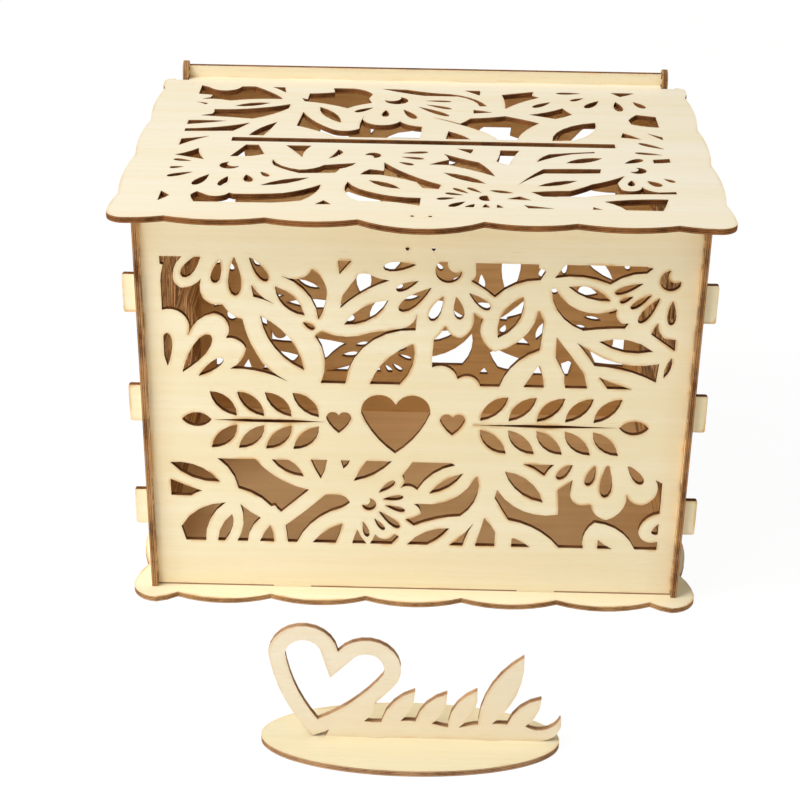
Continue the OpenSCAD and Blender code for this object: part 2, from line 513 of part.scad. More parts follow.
// back panel, lower part: x -127.5 to 127.5, y 28 to 104
module pattern_rear_low() {
    // along the lower edge
    gap([[-127.6, 29.5, 0], [-124.5, 29.8, 0.4], [-123.4, 34.6, 0.5],
        [-127.6, 35.4, 0]]);
    gap([[-111.2, 28, 0], [-105, 28, 0], [-107.2, 34.8, 0]]);
    gap([[-98.5, 28, 0], [-93.5, 28, 0], [-95.5, 32.5, 0]]);
    gap([[-58, 28, 0], [-39, 28, 0], [-42, 32.6, -0.4]]);
    gap([[38, 28, 0], [43.6, 28, 0], [41, 32.2, 0.3]]);
    gap([[70.2, 28, 0], [77.4, 28, 0], [74.8, 34.5, 0]]);
    gap([[91.4, 28, 0], [93.6, 28, 0], [95.4, 35.4, 0.8],
        [93.2, 38.3, 0], [89, 36.4, 0.3]]);
    // small flower left of the middle
    gap([[-28.6, 28, 0], [-23.8, 28, 0], [-25.4, 31.8, 0.5]]);
    drop([-21.5, 33], [-17, 27.4], 3);
    drop([-17, 34], [-10.6, 28.7], 3);
    drop([-13.4, 40.4], [-4.8, 37], 2.8);
    drop([-14.8, 42.2], [-8.2, 45.8], 2.8);
    // leaves left of it
    leaf([-48.5, 38.8], [-36, 40.6], 2, 1.8);
    leaf([-40, 46], [-30.5, 48], 1.7, 1.5);
    gap([[-61, 35.6, 0], [-58.2, 36.1, -0.8], [-45.5, 47.1, 0.3],
        [-65.5, 50.6, -0.6]]);
    gap([[-90, 33, -0.8], [-79, 33.4, 0.4], [-75.6, 38.4, 0.3],
        [-88.5, 41.2, 0]]);
    gap([[-92.2, 48, 0.2], [-79.2, 47, 0], [-80.5, 51.5, 0],
        [-83.2, 52.2, -2.6], [-91.3, 52.6, 0], [-93, 56.4, -0.5]]);
    leaf([-95.4, 58.2], [-100.6, 68], 2.4, 2.2);
    // flower at the left
    crescent([-112.5, 73.5], 3.4, [-110.5, 75.4], 2.8);
    drop([-117, 70.4], [-117, 61.4], 5.8);
    drop([-120, 75.8], [-130, 71.6], 5);
    drop([-109.4, 68.2], [-103.6, 60.2], 3.8);
    drop([-107, 74], [-98.6, 73], 3.2);
    // middle row
    leaf([-96.4, 75.6], [-84, 79.4], 1.5, 1.3);
    leaf([-83, 74.4], [-46, 72.8], 3.5, 3.2);
    drop([-56, 68.2], [-40.6, 63.6], 7);
    leaf([-30.4, 61.4], [-16.8, 81], 6, 5.6);
    leaf([-29, 59], [-13, 59.6], 2.3, 2);
    leaf([-11.5, 77.8], [-0.4, 80.4], 1.8, 1.6);
    gap([[2.6, 64.8, -0.6], [14, 62.4, -0.8], [30, 61, -0.6],
        [26.6, 67.6, -0.8], [14.8, 77.4, -0.4], [6, 79.4, -0.8]]);
    leaf([31, 75], [48, 73.6], 2.8, 2.9);
    gap([[48, 65.4, 0], [53.6, 64.9, 0], [54.2, 66.6, 0.2],
        [63.5, 69.6, 0], [69, 76, 0.5], [66, 81, -0.6]]);
    leaf([101.2, 68.7], [112, 66.7], 1.6, 1.2);
    leaf([116.5, 71.4], [125, 78.4], 2, 2);
    // broad leaves right of the middle
    gap([[3, 34, 0], [27.2, 34, 2.8], [32.4, 55.6, -4], [3, 38.8, 0]]);
    leaf([0, 50.5], [23, 56.8], 3.2, 3.4);
    gap([[49.6, 32.2, 0.2], [56.5, 30.4, 0.3], [67.4, 32, -0.3],
        [63.2, 39.2, -0.3], [50, 44.6, 0.5], [43.8, 43, 0.5]]);
    drop([52.8, 62.2], [51, 56.2], 4);
    gap([[60, 49.2, 0], [69, 48.6, 0], [64.3, 53.6, 0]]);
    leaf([72.6, 52.4], [78, 65], 2.6, 2);
    leaf([95, 62.4], [103.6, 61], 1.6, 1.3);
    gap([[110.4, 36.4, 0.3], [127.6, 35.2, 0], [127.6, 58, -0.8],
        [120.4, 55.6, -0.6], [119.6, 47.6, -0.6], [106, 46.6, 0.3]]);
    // upper row
    drop([-125, 114], [-124.6, 98.9], 6);
    drop([-119, 102.4], [-115.3, 94.8], 3.8);
    drop([-99.6, 114], [-99.8, 98.2], 6.6);
    leaf([-75.9, 90.4], [-61.7, 84.2], 1.5, 2.4);
    leaf([-34.8, 101], [-35.2, 79], 4.7, 4.6);
    drop([-9, 114], [-21.4, 96], 8);
    drop([-22.4, 89.6], [-10.8, 86], 5.6);
    drop([9.6, 103], [13, 98], 3);
    leaf([18.5, 91], [25, 94], 1, 1);
    drop([37, 96], [38, 85.4], 4);
    gap([[54, 80.5, 2.2], [61, 105, 0], [49.4, 105, 1.6]]);
    drop([74.6, 102], [73.9, 94.2], 4.4);
    drop([87.6, 112], [87.6, 96.6], 3.6);
    drop([82.8, 94], [82.3, 83.6], 4.6);
    drop([109, 84.2], [96.8, 87], 7);
    gap([[117.8, 93, 0.6], [111.2, 105, 0], [100.6, 105, 1.3]]);
    drop([126.4, 112], [126.2, 100.2], 4.6);
}

// heart of height h centred on the origin
module heart(h)
    gap([[0, -0.5 * h, 0.06 * h], [0.5 * h, 0.16 * h, 0.23 * h],
        [0, 0.3 * h, 0.23 * h], [-0.5 * h, 0.16 * h, 0.06 * h]]);

// sprig of n leaf pairs on a fine stem, growing from x = 0 to len
module sprig(len, n, spread) {
    step = (len - 16) / n;
    leaf([0, 0], [len - 17, 0], 1, 1);
    for (i = [0 : n - 1], s = [-1, 1]) {
        at = [step * (i + 0.15), 2.6 * s];
        leaf(at, at + [step * 0.95, spread * s],
            3.7 + s * 0.5, 3.7 - s * 0.5);
    }
    leaf([len - 15, 0], [len, 0], 4, 4);
}

// ornament band: hearts between leaf sprigs, in nominal width
module ornament() {
    k = heart_h / 35;
    translate([-11, 0]) heart(heart_h);
    for (s = [-1, 1])
        translate([-11 + 29 * s, 0]) heart(0.36 * heart_h);
    translate([-48, 0]) mirror([1, 0]) scale([1, k]) sprig(72, 4, 13.6);
    translate([30, 0]) scale([1, k]) sprig(88, 5, 13.6);
}

// ---------------------------------------------------------------
// outlines
// ---------------------------------------------------------------

// row of cusps along y = 0, at the given x, each edge swelling by h
function cusps(x, y, h) = [for (c = x) [c, y, h]];

module bottom_outline() {
    cx = outer_w / 2 + base_rim;
    cy = side_y + base_rim;
    fx = [0.1757, 0.5256, 0.8686] * cx;
    sy = [0.253, 0.76] * cy;
    reach = base_bulge;
    // rounded corner scallop, then the right-hand side's cusps
    half = concat(
        cusps([-fx[1], -fx[0], fx[0], fx[1]], -cy, reach),
        [[fx[2], -cy, 0.8], [cx - 8, -cy - reach, 3.6],
            [cx + reach, -cy + 8, 1.2]],
        [for (t = [-sy[1], -sy[0], sy[0]]) [cx, t, reach]],
        [[cx, sy[1], 1.2], [cx + reach, cy - 8, 3.6],
            [cx - 8, cy + reach, 0.8], [fx[2], cy, reach]]);
    far = concat(
        cusps([fx[1], fx[0], -fx[0], -fx[1]], cy, reach),
        [[-fx[2], cy, 0.8], [-cx + 8, cy + reach, 3.6],
            [-cx - reach, cy - 8, 1.2]],
        [for (t = [sy[1], sy[0], -sy[0]]) [-cx, t, reach]],
        [[-cx, -sy[1], 1.2], [-cx - reach, -cy + 8, 3.6],
            [-cx + 8, -cy - reach, 0.8], [-fx[2], -cy, reach]]);
    polygon(outline(concat(half, far)));
}

module lid_outline() {
    cx = outer_w / 2 + lid_rim;
    fy = front_y - lid_front;
    notch_x = outer_w / 2 + 4.4;
    notch_y = axis_y - ear_r - notch_gap;
    wing_y = notch_y + 1.8;
    side0 = fy + 28;
    pitch = (wing_y - 18 - side0) / 3;
    swell = lid_bulge / 2;
    rear_y = axis_y + ply / 2 - 0.2;
    x1 = 0.2027 * cx;
    x2 = 0.5 * cx;
    x3 = 0.824 * cx;
    polygon(outline([
        [-x3, fy, lid_bulge], [-x2, fy, lid_bulge],
        [-x1, fy, grip_bulge], [x1, fy, lid_bulge],
        [x2, fy, lid_bulge], [x3, fy, 0.8],
        [cx - 8, fy - 0.8 * lid_bulge, 3.4],
        [cx + swell, fy + 7, 0.6],
        [cx, side0, swell], [cx, side0 + pitch, swell],
        [cx, side0 + 2 * pitch, swell], [cx, side0 + 3 * pitch, 0.8],
        [cx + swell, wing_y - 5, 1], [cx - 2, wing_y, 0],
        [notch_x, wing_y, 0], [notch_x, notch_y, 0],
        [rail_w / 2, notch_y, 0], [rail_w / 2, rear_y, 0],
        [-rail_w / 2, rear_y, 0], [-rail_w / 2, notch_y, 0],
        [-notch_x, notch_y, 0], [-notch_x, wing_y, 0],
        [-cx + 2, wing_y, 1], [-cx - swell, wing_y - 5, 0.8],
        [-cx, side0 + 3 * pitch, swell],
        [-cx, side0 + 2 * pitch, swell], [-cx, side0 + pitch, swell],
        [-cx, side0, 0.6], [-cx - swell, fy + 7, 3.4],
        [-cx + 8, fy - 0.8 * lid_bulge, 0.8]]));
}

// bar across the panel whose rounded ends are a pair of tabs
module tab_bar(len, width) {
    x = len / 2;
    z = width / 2;
    r = tab_round;
    polygon(outline([[-x, -z + r, 0.29 * r], [-x + r, -z, 0],
        [x - r, -z, 0.29 * r], [x, -z + r, 0],
        [x, z - r, 0.29 * r], [x - r, z, 0],
        [-x + r, z, 0.29 * r], [-x, z - r, 0]]));
}

// front or back panel with its side tabs and feet, z up the page
module wall_outline() {
    translate([-inner_w / 2, 0]) square([inner_w, wall_h]);
    for (i = [0 : 2])
        translate([0, tab_low + i * tab_pitch])
            tab_bar(outer_w + 2 * tab_proud, tab_h);
    for (x = [-foot_x, foot_x])
        translate([x - foot_w / 2, -ply])
            square([foot_w, ply + cut]);
}

// side panel, front to the left, with its ear at the rear top corner
module side_outline() {
    top = axis_z - ply;
    difference() {
        union() {
            translate([-side_y, 0]) square([2 * side_y, wall_h]);
            translate([axis_y - ear_r, wall_h - cut])
                square([2 * ear_r, top - wall_h + cut]);
            translate([axis_y, top]) circle(ear_r, $fn = 48);
            for (y = [-foot_y, foot_y])
                translate([y - foot_w / 2, -ply])
                    square([foot_w, ply + cut]);
        }
        // closed slots that take the front and back panels' tabs
        for (i = [0 : 2], y = [front_y, back_y - ply])
            translate([y - fit, tab_low + i * tab_pitch - tab_h / 2 - fit])
                square([ply + 2 * fit, tab_h + 2 * fit]);
    }
}

// window pierced by a lattice drawing that is stretched to fit it
module window(w, h, nom_h)
    offset(delta = kerf)
        intersection() {
            square([w, h], center = true);
            scale([w / nom_w, h / nom_h]) children();
        }

// upright plate whose drawing lies in x and z, front face at y
module upright(y)
    translate([0, y + ply, ply]) rotate([90, 0, 0])
        linear_extrude(ply) children();

// ---------------------------------------------------------------
// sub-parts
// ---------------------------------------------------------------

module bottom_panel() {
    color("BurlyWood")
    difference() {
        linear_extrude(ply) bottom_outline();
        // slots for the front and back panels' feet
        for (x = [-foot_x, foot_x], y = [front_y, back_y - ply])
            translate([x - foot_w / 2 - fit, y - fit, -cut])
                cube([foot_w + 2 * fit, ply + 2 * fit, ply + 2 * cut]);
        // slots for the side panels' feet
        for (y = [-foot_y, foot_y], s = [0, 1])
            mirror([s, 0, 0])
                translate([inner_w / 2 - fit, y - foot_w / 2 - fit, -cut])
                    cube([ply + 2 * fit, foot_w + 2 * fit, ply + 2 * cut]);
    }
}

module front_panel() {
    color("Wheat")
    difference() {
        upright(front_y) {
            difference() {
                wall_outline();
                translate([0, low_border + low_h / 2])
                    window(win_w, low_h, nom_low)
                        translate([0, -nom_low / 2]) pattern_lower();
                translate([0, wall_h - top_border - up_h / 2])
                    window(win_w, up_h, nom_up)
                        translate([0, -nom_up / 2]) pattern_upper();
                translate([0, band_z])
                    window(win_w, band_h, band_h) ornament();
            }
        }
        // latch holes above the upper window
        for (x = [-catch_pitch / 2, catch_pitch / 2])
            translate([x, front_y + ply / 2, wall_z - 18])
                rotate([90, 0, 0])
                    cylinder(r = latch_r, h = ply + 2 * cut,
                        center = true, $fn = 32);
    }
}

module back_panel() {
    color("Tan")
    upright(back_y - ply) {
        difference() {
            wall_outline();
            translate([0, low_border + rear_h / 2])
                window(win_w, rear_h, nom_rear)
                    pattern_rear();
        }
    }
}

// all-over drawing of the back panel: its own lower part, and above a
// plain strip the rear part of the lid's lattice
module pattern_rear() {
    low_z = 28;
    strip_z = 104;
    strip_h = 4;
    sink = 2.5;
    translate([0, -low_z - nom_rear / 2]) {
        intersection() {
            translate([-nom_w / 2, 0]) square([nom_w, strip_z]);
            pattern_rear_low();
        }
        intersection() {
            translate([-nom_w / 2, strip_z + strip_h])
                square([nom_w, nom_rear]);
            translate([0, strip_z - sink])
                mirror([1, 0]) pattern_lid_rear();
        }
    }
}

// left side panel; the right one is its mirror image
module side_panel() {
    // plain strip between the rows, how much wider than the window the
    // rows are drawn, and how far they are moved along it
    strip = 10;
    zoom = 1.47;
    shift = 38;
    row = (rear_h - strip) / 2;
    part = side_win / nom_w * zoom;
    difference() {
        translate([-outer_w / 2, 0, ply]) rotate([90, 0, 90])
            linear_extrude(ply)
                difference() {
                    side_outline();
                    for (s = [-1, 1])
                        translate([0, low_border + rear_h / 2
                            + s * (row + strip) / 2])
                            offset(delta = kerf)
                                intersection() {
                                    square([side_win, row], center = true);
                                    scale([part, row / nom_up])
                                        translate([-shift * s,
                                            -nom_up / 2])
                                            pattern_side(s);
                                }
                }
        // round hole that the rail's square pivot turns in
        translate([-outer_w / 2 + ply / 2, axis_y, axis_z])
            rotate([0, 90, 0])
                cylinder(r = hole_r, h = ply + 2 * cut, center = true,
                    $fn = 48);
    }
}

// upper or lower row of a side panel's window; in the upper one three
// stems part the largest opening
module pattern_side(s) {
    if (s > 0)
        difference() {
            pattern_upper();
            gap([[17.2, -1, 0], [21, -1, 1.2], [19.8, 32, 0],
                [16.4, 32, -1.2]]);
            gap([[32.4, -1, 0], [36.4, -1, -1], [39.6, 21, 0],
                [36.4, 21, 1]]);
            gap([[47.4, 3, 0], [51.4, 6, 1], [51.4, 36, 0],
                [47.8, 33, -1]]);
        }
    else scale([1, nom_up / nom_low]) pattern_lower();
}

module left_side_panel() color("Tan") side_panel();

module right_side_panel()
    color("Tan") mirror([1, 0, 0]) side_panel();

module lid_panel() {
    color("Wheat")
    difference() {
        translate([0, 0, lid_z]) linear_extrude(ply)
            difference() {
                lid_outline();
                translate([0, lid_mid])
                    window(win_w, lid_win, nom_lid) {
                        pattern_lid_rear();
                        pattern_lid_front();
                    }
                // card slot along the plain middle band
                translate([0, lid_mid])
                    square([slot_l, slot_w], center = true);
                // notches for the hinge rail's tabs
                for (i = rail_tabs)
                    translate([i * rail_pitch - rail_tab / 2 - fit,
                        rail_y - fit])
                        square([rail_tab + 2 * fit, 2 * ply]);
            }
        // latch holes by the finger grip
        for (x = [-hasp_pitch / 2, hasp_pitch / 2])
            translate([x, front_y - lid_front + 5.5, lid_z - cut])
                cylinder(r = latch_r, h = ply + 2 * cut, $fn = 32);
    }
}

module hinge_rail() {
    color("BurlyWood")
    translate([0, rail_y + ply, 0]) rotate([90, 0, 0])
        linear_extrude(ply) {
            translate([-rail_w / 2, lid_top])
                square([rail_w, rail_h]);
            // square pivots at both ends
            translate([-outer_w / 2, axis_z - pivot / 2])
                square([outer_w, pivot]);
            // tabs down into the lid's rear edge
            for (i = rail_tabs)
                translate([i * rail_pitch - rail_tab / 2,
                    lid_top - rail_sink])
                    square([rail_tab, rail_sink + cut]);
        }
}

module sign_foot() {
    color("Wheat")
    difference() {
        translate([0, -sign_y, 0]) scale([1, sign_d / sign_w, 1])
            cylinder(d = sign_w, h = ply, $fn = 96);
        for (x = sign_tabs)
            translate([(x - sign_tab / 2) * sign_w / sign_nom_w - fit,
                -sign_y - ply / 2 - fit, -cut])
                cube([sign_tab * sign_w / sign_nom_w + 2 * fit,
                    ply + 2 * fit, ply + 2 * cut]);
    }
}

// leaf of the vine, from its stalk to its tip
module vine_leaf(p, q, w) leaf(p, q, w, w);

// open heart, drawn as a band of even width
module heart_loop(h, band) {
    difference() {
        heart(h);
        offset(delta = -band) heart(h);
    }
}

module vine2d() {
    // leaning heart loop at the left
    translate([-38.5, 30.4]) rotate(-14)
        heart_loop(62, 7.6);
    // stem running right, with a flat lower edge on the foot
    gap([[-40, 0, 0], [60, 0, 4.5], [70.4, 13.6, -4.5],
        [54, 8.4, 1], [30, 8.6, -2], [10, 8.8, 1.2],
        [-12, 9, -2], [-34, 14, 0]]);
    // leaves standing on the stem
    vine_leaf([-14, 4], [2, 27], 4.6);
    vine_leaf([2, 4], [17, 26], 4.6);
    vine_leaf([18, 4], [31, 28], 4.6);
    vine_leaf([32, 4], [52, 47.4], 6.4);
    vine_leaf([45, 4], [61, 24], 4.6);
    vine_leaf([-30, 6], [-16, 20], 3.6);
}

// vine stretched to its foot, with two tabs that key into it
module sign_vine() {
    stretch = sign_w / sign_nom_w;
    color("Wheat")
    upright(-sign_y - ply / 2) {
        scale([stretch, sign_h / sign_nom_h]) vine2d();
        for (x = sign_tabs)
            translate([(x - sign_tab / 2) * stretch, -ply])
                square([sign_tab * stretch, ply + cut]);
    }
}

bottom_panel();
front_panel();
back_panel();
left_side_panel();
right_side_panel();
lid_panel();
hinge_rail();
sign_foot();
sign_vine();
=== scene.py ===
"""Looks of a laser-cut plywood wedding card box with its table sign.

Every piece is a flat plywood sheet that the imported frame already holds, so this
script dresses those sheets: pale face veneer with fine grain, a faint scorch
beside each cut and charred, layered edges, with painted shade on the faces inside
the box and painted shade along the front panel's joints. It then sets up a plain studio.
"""

import logging
import math
from dataclasses import dataclass, field
from enum import Enum

import bpy
from mathutils import Matrix, Vector

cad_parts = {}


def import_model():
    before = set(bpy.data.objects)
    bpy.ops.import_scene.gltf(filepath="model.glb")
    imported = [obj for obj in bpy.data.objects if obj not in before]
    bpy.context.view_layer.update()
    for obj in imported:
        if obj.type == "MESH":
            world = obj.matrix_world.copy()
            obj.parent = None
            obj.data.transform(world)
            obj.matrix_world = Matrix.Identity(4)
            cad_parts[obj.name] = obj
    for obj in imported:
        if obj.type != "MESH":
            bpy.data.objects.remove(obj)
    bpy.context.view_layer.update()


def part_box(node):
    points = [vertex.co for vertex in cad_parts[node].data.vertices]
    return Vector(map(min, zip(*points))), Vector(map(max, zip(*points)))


log = logging.getLogger("card_box")

Colour = tuple[float, float, float]
Point = tuple[float, float, float]
Span = tuple[float, float]
Tree = bpy.types.NodeTree
Socket = bpy.types.NodeSocket


class Thickness(Enum):
    """Axis that a sheet's thickness runs along."""

    ACROSS_X = 0
    ACROSS_Y = 1
    ACROSS_Z = 2


class Inside(Enum):
    """Which face of a sheet looks into the box."""

    NONE = 0
    HIGH = 1
    LOW = -1


def linear(red: int, green: int, blue: int) -> Colour:
    """Turns a colour as seen on a screen into the linear one that shaders use.

    Args:
        red: Red from 0 to 255.
        green: Green from 0 to 255.
        blue: Blue from 0 to 255.

    Returns:
        The three linear values from 0 to 1.
    """
    def one(value: int) -> float:
        """Turns one screen value into a linear one."""
        share = value / 255
        return share / 12.92 if share < 0.04045 else ((share + 0.055) / 1.055) ** 2.4

    return one(red), one(green), one(blue)


@dataclass
class Graph:
    """A node tree with short calls to add and join its nodes.

    Attributes:
        tree: The node tree.
    """

    tree: Tree

    def add(self, kind: str, **inputs: object) -> bpy.types.Node:
        """Adds a node and fills its inputs.

        Args:
            kind: Node type without its ShaderNode prefix.
            inputs: Socket values or output sockets, by socket name with spaces as _.

        Returns:
            The new node.
        """
        prefix = "" if kind.startswith("Node") else "ShaderNode"
        node = self.tree.nodes.new(prefix + kind)
        for name, value in inputs.items():
            self.feed(node, name.replace("_", " "), value)
        return node

    def feed(self, node: bpy.types.Node, name: str | int, value: object) -> None:
        """Sets one input of a node, or links an output socket to it.

        Args:
            node: Node that is fed.
            name: Name or number of its input.
            value: Plain value or output socket.
        """
        socket = node.inputs[name]
        if isinstance(value, Socket):
            self.tree.links.new(value, socket)
        else:
            socket.default_value = value

    def math(self, what: str, first: object, second: object = 0.0,
             third: object = 0.0) -> Socket:
        """Adds a Math node.

        Args:
            what: Operation name.
            first: First value or socket.
            second: Second value or socket.
            third: Third value or socket.

        Returns:
            Its output socket.
        """
        node = self.tree.nodes.new("ShaderNodeMath")
        node.operation = what
        for number, value in enumerate((first, second, third)):
            self.feed(node, number, value)
        return node.outputs[0]

    def ramp(self, value: object, low: float, high: float, out_low: float = 0.0,
             out_high: float = 1.0) -> Socket:
        """Maps a value smoothly from one range to another.

        Args:
            value: Socket that is mapped.
            low: Value that becomes out_low.
            high: Value that becomes out_high.
            out_low: Lowest result.
            out_high: Highest result.

        Returns:
            The mapped socket.
        """
        node = self.tree.nodes.new("ShaderNodeMapRange")
        node.interpolation_type = "SMOOTHSTEP"
        for name, item in (("Value", value), ("From Min", low), ("From Max", high),
                           ("To Min", out_low), ("To Max", out_high)):
            self.feed(node, name, item)
        return node.outputs[0]

    def mix(self, factor: object, first: object, second: object,
            blend: str = "MIX") -> Socket:
        """Mixes two colours.

        Args:
            factor: Share of the second colour.
            first: First colour or socket.
            second: Second colour or socket.
            blend: Blend type.

        Returns:
            The mixed colour's socket.
        """
        node = self.tree.nodes.new("ShaderNodeMix")
        node.data_type = "RGBA"
        node.blend_type = blend
        for number, value in ((0, factor), (6, first), (7, second)):
            if isinstance(value, tuple) and len(value) == 3:
                value = (*value, 1.0)
            self.feed(node, number, value)
        return node.outputs[2]

    def noise(self, vector: object, stretch: Colour, detail: float = 2.0,
              rough: float = 0.5) -> Socket:
        """Adds a noise that is stretched along the grain.

        Args:
            vector: Coordinates in metres.
            stretch: Waves per metre along each axis.
            detail: Octaves of finer noise.
            rough: Strength of those octaves.

        Returns:
            The noise value's socket.
        """
        placed = self.add("Mapping", Vector=vector, Scale=stretch)
        node = self.add("TexNoise", Vector=placed.outputs[0], Scale=1.0,
                        Detail=detail, Roughness=rough)
        return node.outputs[0]


def new_group(name: str, inputs: dict[str, str], outputs: dict[str, str],
              ) -> tuple[Tree, Graph, bpy.types.Node, bpy.types.Node]:
    """Starts a shader node group with named sockets.

    Args:
        name: Name of the group.
        inputs: Input names with Vector, Float or Color.
        outputs: Output names with the same.

    Returns:
        The group, its graph, its input node and its output node.
    """
    tree = bpy.data.node_groups.new(name, "ShaderNodeTree")
    for side, sockets in (("INPUT", inputs), ("OUTPUT", outputs)):
        for label, kind in sockets.items():
            tree.interface.new_socket(label, in_out=side, socket_type="NodeSocket" + kind)
    graph = Graph(tree)
    return tree, graph, graph.add("NodeGroupInput"), graph.add("NodeGroupOutput")


@dataclass(frozen=True)
class VeneerGrain:
    """Grain of the face veneer, in waves per metre along and across it.

    Attributes:
        broad: Waves of the broad bands.
        lines: Waves of the growth lines.
        fine: Waves of the finest lines.
        dashes: Waves of the short flecks.
        broad_share: Share of the broad bands in the tone.
        lines_share: Share of the growth lines in the tone.
        fine_share: Share of the finest lines in the tone.
        tones: Sums of the three that give the deepest and the palest tone.
        flecks: Noise values where a fleck starts and where it is full.
        fine_height: Height of the finest lines, against 1 for the growth lines.
    """

    broad: Span = (3.0, 26.0)
    lines: Span = (5.0, 190.0)
    fine: Span = (16.0, 620.0)
    dashes: Span = (110.0, 1500.0)
    broad_share: float = 0.5
    lines_share: float = 0.3
    fine_share: float = 0.2
    tones: Span = (0.36, 0.66)
    flecks: Span = (0.64, 0.78)
    fine_height: float = 0.7

    def group(self) -> Tree:
        """Builds the shared node group of the grain.

        Returns:
            Group with Tone, Fleck and Height from coordinates whose X runs along the grain.
        """
        tree, graph, given, out = new_group(
            "veneer grain", {"Vector": "Vector"},
            {"Tone": "Float", "Fleck": "Float", "Height": "Float"})

        def layer(waves: Span, detail: float, rough: float) -> Socket:
            """Adds a noise with these waves along and across the grain."""
            return graph.noise(given.outputs["Vector"], (waves[0], waves[1], waves[1]),
                               detail, rough)

        broad = layer(self.broad, detail=3.0, rough=0.55)
        fine = layer(self.fine, detail=4.0, rough=0.6)
        lines = layer(self.lines, detail=2.0, rough=0.5)
        dashes = layer(self.dashes, detail=1.0, rough=0.4)
        wave = graph.math("MULTIPLY_ADD", broad, self.broad_share,
                          graph.math("MULTIPLY", lines, self.lines_share))
        tone = graph.math("MULTIPLY_ADD", fine, self.fine_share, wave)
        graph.feed(out, "Tone", graph.ramp(tone, *self.tones))
        graph.feed(out, "Fleck", graph.ramp(dashes, *self.flecks))
        graph.feed(out, "Height", graph.math("MULTIPLY_ADD", fine, self.fine_height, lines))
        return tree


@dataclass(frozen=True)
class CharredEdge:
    """Laser-charred edge of a sheet with its three layers of veneer.

    Distances are from the middle of the sheet, in shares of its thickness.

    Attributes:
        glue: Distance of the two glue lines, between which the core lies.
        core_blur: Width over which the core gives way to the outer layers.
        glue_width: Distances from a glue line where it starts to fade and is gone.
        rim: Distances where the darker rim starts and where it is full.
        core_dark: Darkening of the core.
        glue_dark: Darkening of the glue lines.
        rim_dark: Darkening of the rim.
        patch: Waves per metre of the char's patches.
        patch_share: Share of the patches.
        speck: Waves per metre of its specks.
        speck_share: Share of the specks.
        tones: Sums that give the darkest and the palest char.
    """

    glue: float = 0.19
    core_blur: float = 0.04
    glue_width: Span = (0.01, 0.08)
    rim: Span = (0.4, 0.49)
    core_dark: float = 0.14
    glue_dark: float = 0.32
    rim_dark: float = 0.3
    patch: float = 60.0
    patch_share: float = 0.8
    speck: float = 900.0
    speck_share: float = 0.2
    tones: Span = (0.08, 0.58)

    def group(self) -> Tree:
        """Builds the shared node group of a charred edge.

        Returns:
            Group with Char, from 0 for black to 1 for pale brown, from coordinates and the
            depth through the sheet.
        """
        tree, graph, given, out = new_group(
            "charred edge", {"Vector": "Vector", "Depth": "Float"}, {"Char": "Float"})
        where = given.outputs["Vector"]
        off = graph.math("ABSOLUTE", graph.math("SUBTRACT", given.outputs["Depth"], 0.5))
        core = graph.ramp(off, self.glue, self.glue + self.core_blur, out_low=1.0,
                          out_high=0.0)
        beside = graph.math("ABSOLUTE", graph.math("SUBTRACT", off, self.glue))
        glue = graph.ramp(beside, *self.glue_width, out_low=1.0, out_high=0.0)
        rim = graph.ramp(off, *self.rim)
        patch = graph.noise(where, (self.patch,) * 3, detail=3.0, rough=0.6)
        speck = graph.noise(where, (self.speck,) * 3, detail=1.0)
        shade = graph.math("MULTIPLY_ADD", patch, self.patch_share,
                           graph.math("MULTIPLY", speck, self.speck_share))
        for layer, dark in ((core, self.core_dark), (glue, self.glue_dark),
                            (rim, self.rim_dark)):
            shade = graph.math("MULTIPLY_ADD", layer, -dark, shade)
        graph.feed(out, "Char", graph.ramp(shade, *self.tones))
        return tree


@dataclass(frozen=True)
class LaserScorch:
    """Faint scorch that a laser leaves on the face beside its cut.

    Attributes:
        openness: Openness of the sheet's inside where the scorch is full and where it ends.
        patch: Waves per metre of its uneven patches.
        patches: Noise values where a patch is faintest and strongest.
        strengths: Strengths there.
        rays: Rays that find the nearest cut.
    """

    openness: Span = (0.5, 1.0)
    patch: float = 70.0
    patches: Span = (0.42, 0.66)
    strengths: Span = (0.25, 1.3)
    rays: int = 8

    def group(self) -> Tree:
        """Builds the shared node group of the scorch.

        Returns:
            Group with Mask, 1 at the cut and 0 a short way from it.
        """
        tree, graph, given, out = new_group(
            "laser scorch", {"Vector": "Vector", "Reach": "Float"}, {"Mask": "Float"})
        node = graph.add("AmbientOcclusion", Distance=given.outputs["Reach"])
        node.inside = True
        node.only_local = True
        node.samples = self.rays
        patch = graph.noise(given.outputs["Vector"], (self.patch,) * 3)
        near = graph.ramp(node.outputs["AO"], *self.openness, out_low=1.0, out_high=0.0)
        uneven = graph.ramp(patch, *self.patches, *self.strengths)
        graph.feed(out, "Mask", graph.math("MULTIPLY", near, uneven))
        return tree


@dataclass(frozen=True)
class SheetFinish:
    """Finish of one plywood sheet.

    Attributes:
        light: Palest tone of the face veneer.
        deep: Deepest tone of the face veneer.
        inner: Painted shade multiplied into the face that looks into the box, for the dimmer
            light inside it.
        scorch: Colour of the scorch beside a cut.
        burnt: Darkest tone of a cut edge.
        brown: Palest tone of a cut edge.
        reach: Width of the scorch in metres.
        heat: Strength of the scorch.
        streak: Strength of the dark streaks on the face that looks into the box.
        turn: Angle between the grain and the box's X in degrees.
        shift: Place of the grain, so that no two sheets match.
    """

    light: Colour = linear(253, 245, 224)
    deep: Colour = linear(249, 236, 205)
    inner: Colour = (1.0, 1.0, 1.0)
    scorch: Colour = linear(222, 172, 104)
    burnt: Colour = linear(66, 33, 11)
    brown: Colour = linear(162, 108, 60)
    reach: float = 0.0022
    heat: float = 0.7
    streak: float = 0.25
    turn: float = 0.0
    shift: float = 0.0


